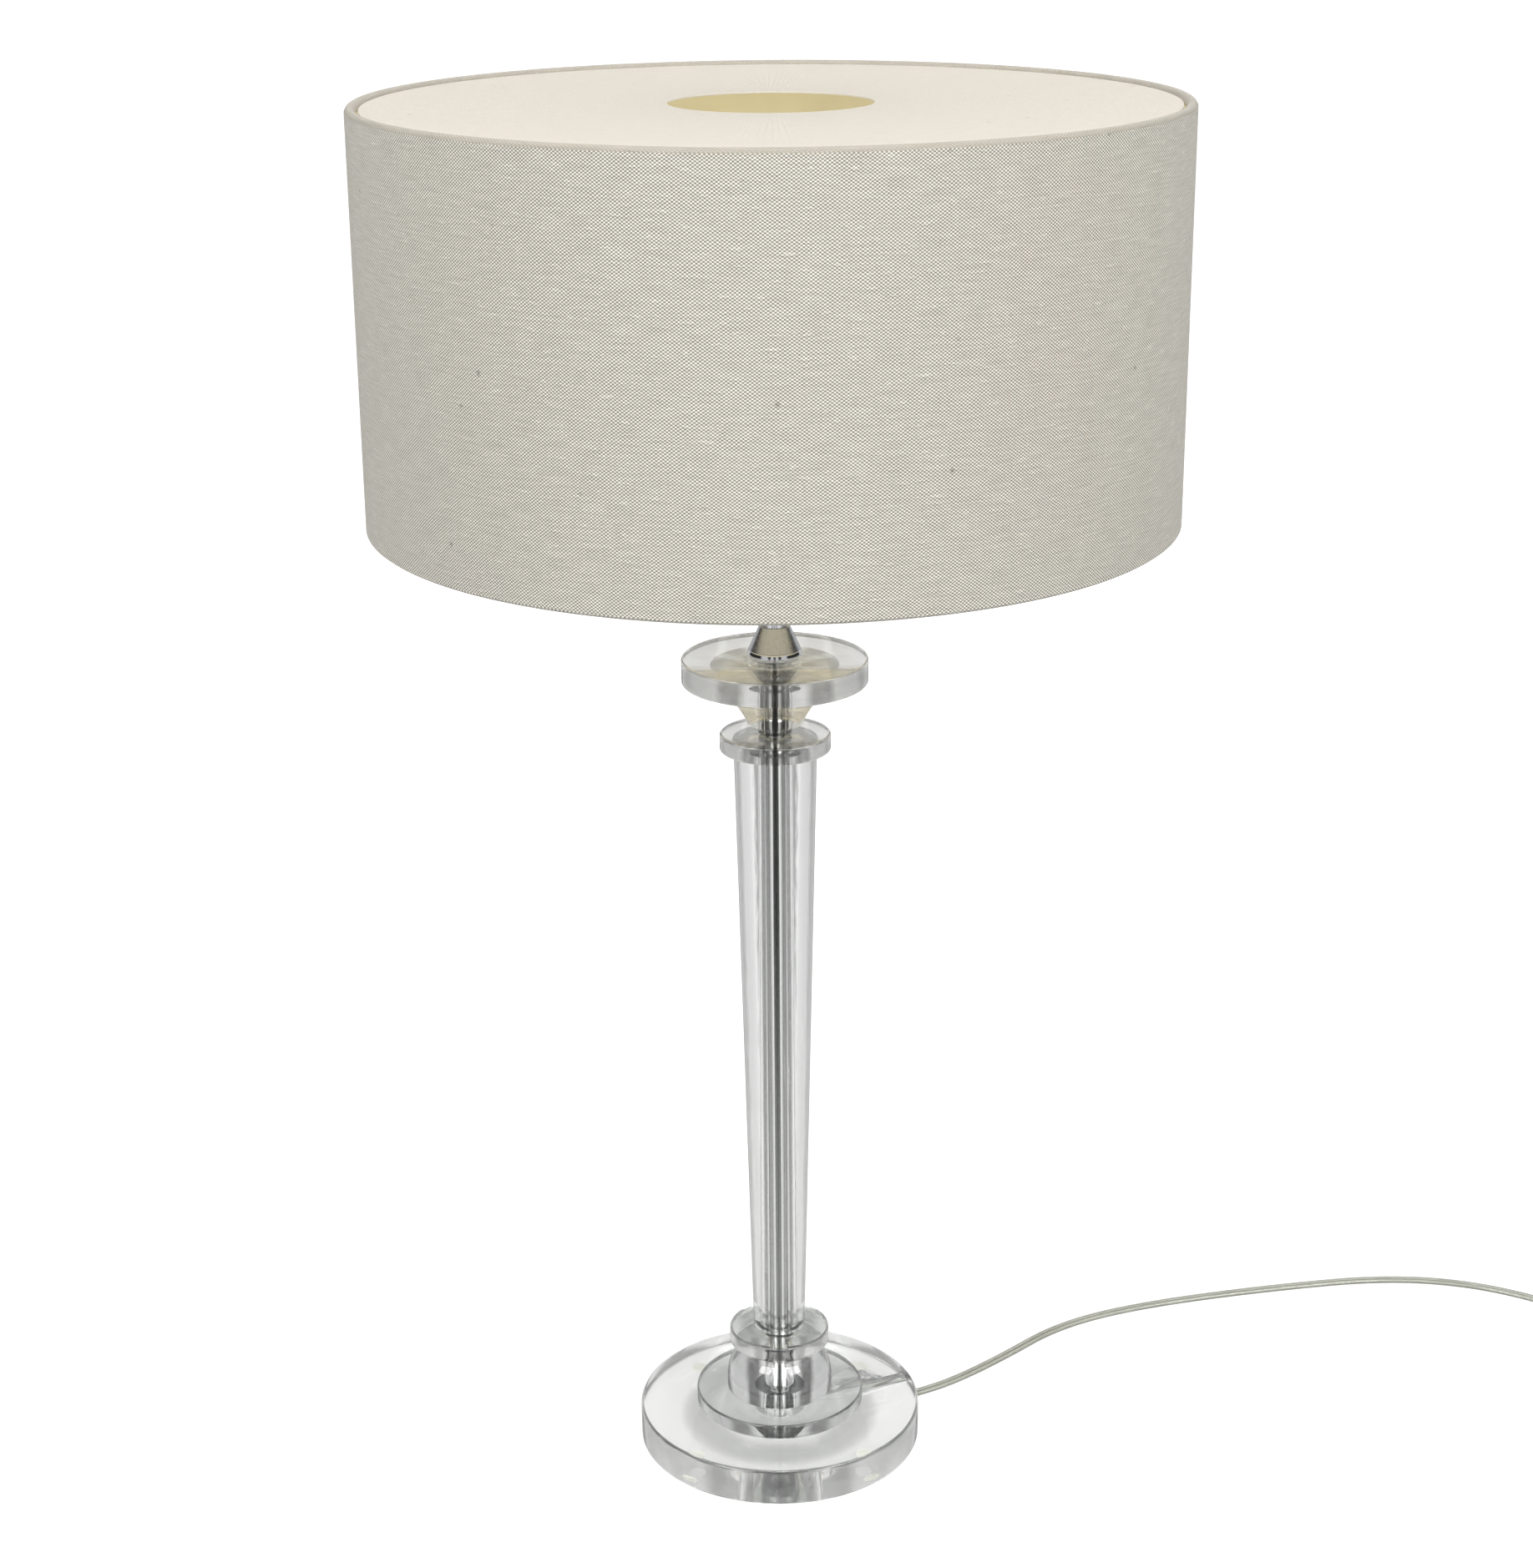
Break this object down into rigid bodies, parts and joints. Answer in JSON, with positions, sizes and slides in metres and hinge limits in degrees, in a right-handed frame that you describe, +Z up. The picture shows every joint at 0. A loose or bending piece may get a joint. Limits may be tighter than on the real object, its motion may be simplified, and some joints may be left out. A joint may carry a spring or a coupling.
{
  "type": "candlestick table lamp",
  "caption": "Turned clear glass candlestick lamp with a column on a round base, a drip pan, and a linen drum shade; mains cord with switch and plug.",
  "frame": {"origin": "on the table, under the middle of the base", "axes": "+Z up along the stem, -Y towards the viewer of the picture, +X to the side where the cord leaves"},
  "size_m": [0.7092, 0.4, 0.7192],
  "materials": {
    "crystal": "polished",
    "clear_soft": "clear, satin",
    "plated_steel": "zinc plated, satin",
    "satin_chrome": "satin",
    "holder_plastic": "off-white",
    "insert_plastic": "pale, matte",
    "brass": "plain",
    "screw_steel": "plain",
    "clear_flex": "clear, over two cores",
    "core_sleeve": "clear",
    "linen": "woven linen",
    "lining_film": "matt, translucent",
    "disc_fabric": "fine weave on a stiff sheet",
    "white_wire": "satin white",
    "opal_cover": "opal",
    "bulb_plastic": "white",
    "nickel": "nickel plated",
    "dark_insulator": "black",
    "board": "white solder mask",
    "switch_plastic": "off-white",
    "carrier_plastic": "dark"
  },
  "bodies": {
    "stand": {"base_disc": "crystal", "lower_plate": "crystal", "bell": "crystal", "lower_collar": "crystal", "column": "crystal", "upper_collar": "crystal", "neck": "crystal", "cone": "crystal", "drip_pan": "crystal", "base_feet": "clear_soft", "gaskets": "clear_soft", "stem": "plated_steel", "stem_nuts": "plated_steel", "stem_washers": "plated_steel", "chrome_cup": "satin_chrome", "sleeve": "satin_chrome", "holder_cap": "holder_plastic", "grub_screw": "screw_steel", "holder_skirt": "holder_plastic", "holder_insert": "insert_plastic", "thread_shell": "brass", "centre_contact": "brass", "terminals": "brass", "inner_lead": "clear_flex", "lead_cores": "core_sleeve", "cord_lead": "clear_flex", "cord_tail": "clear_flex", "cord_coil": "clear_flex", "cord_end": "clear_flex", "switch_base": "switch_plastic", "switch_cover": "switch_plastic", "switch_carrier": "carrier_plastic", "switch_contacts": "brass", "switch_screws": "screw_steel", "plug_body": "switch_plastic", "plug_relief": "switch_plastic", "plug_pins": "nickel"},
    "shade": {"shade_fabric": "linen", "shade_lining": "lining_film", "top_wire": "white_wire", "bottom_wire": "white_wire", "fitter_arms": "white_wire", "fitter_ring": "white_wire", "disc_clips": "white_wire"},
    "top_disc": {"top_disc": "disc_fabric", "disc_trim": "disc_fabric"},
    "bulb": {"bulb_globe": "opal_cover", "bulb_housing": "bulb_plastic", "bulb_cap": "nickel", "bulb_insulator": "dark_insulator", "bulb_tip": "nickel", "led_board": "board"},
    "shade_ring": {"shade_ring": "holder_plastic"},
    "rocker": {"switch_rocker": "switch_plastic"}
  },
  "joints": [
    {"name": "shade_turn", "type": "hinge", "parent": "stand", "child": "shade", "pos_m": [0, 0, 0.53], "axis": [0, 0, 1], "continuous": true},
    {"name": "disc_lift", "type": "slide", "parent": "shade", "child": "top_disc", "axis": [0, 0, 1], "range_m": [0, 0.03]},
    {"name": "bulb_unscrew", "type": "hinge", "parent": "stand", "child": "bulb", "pos_m": [0, 0, 0.53], "axis": [0, 0, 1], "range_deg": [0, 1440]},
    {"name": "ring_unscrew", "type": "hinge", "parent": "stand", "child": "shade_ring", "pos_m": [0, 0, 0.535], "axis": [0, 0, 1], "range_deg": [0, 1080]},
    {"name": "rocker_tilt", "type": "hinge", "parent": "stand", "child": "rocker", "pos_m": [0.4917, 0.027, 0.0123], "axis": [-1, 0, 0], "range_deg": [0, 16]}
  ]
}
